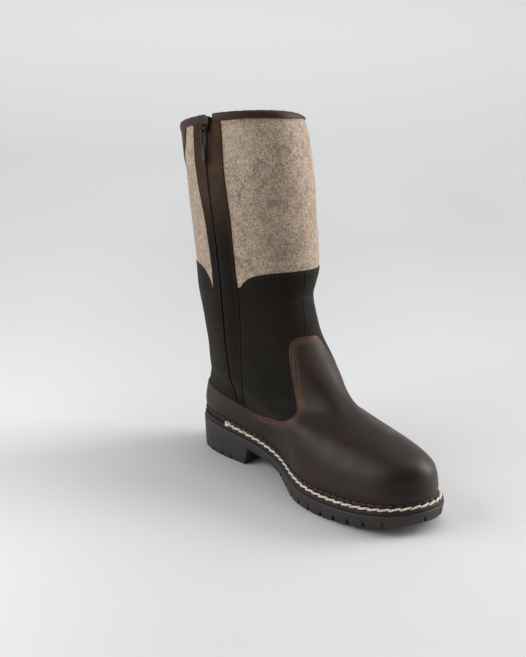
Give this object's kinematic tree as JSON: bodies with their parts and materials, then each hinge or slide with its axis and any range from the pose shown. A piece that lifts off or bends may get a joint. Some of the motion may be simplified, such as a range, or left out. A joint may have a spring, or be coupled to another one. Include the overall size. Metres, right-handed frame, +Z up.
{
  "type": "winter boot",
  "caption": "Tall winter boot for the left foot: felt shaft, leather foot, inner-side zip with a swinging pull, stitched leather welt and a lugged rubber sole with heel.",
  "frame": {"origin": "on the floor, under the middle of the boot's box", "axes": "+X towards the toe, +Z up, the inner side with the zip towards -Y"},
  "size_m": [0.3276, 0.1218, 0.3286],
  "materials": {
    "rubber": "matte moulded rubber",
    "welt_leather": "dyed edge",
    "insole_lining": "wool felt",
    "upper_leather": "oiled leather",
    "zip_coil": "woven tape and coil",
    "slider_metal": "black coated",
    "pull_metal": "satin nickel"
  },
  "bodies": {
    "boot": {"outsole": "rubber", "welt": "welt_leather", "insole": "insole_lining", "upper": "upper_leather", "zip_chain": "zip_coil", "zip_slider": "slider_metal"},
    "zip_pull": {"zip_pull": "pull_metal"}
  },
  "joints": [
    {"name": "pull_swing", "type": "hinge", "parent": "boot", "child": "zip_pull", "pos_m": [-0.07749, -0.0574, 0.3128], "axis": [-0.9788, -0.2049, 0], "range_deg": [-3, 165]}
  ]
}
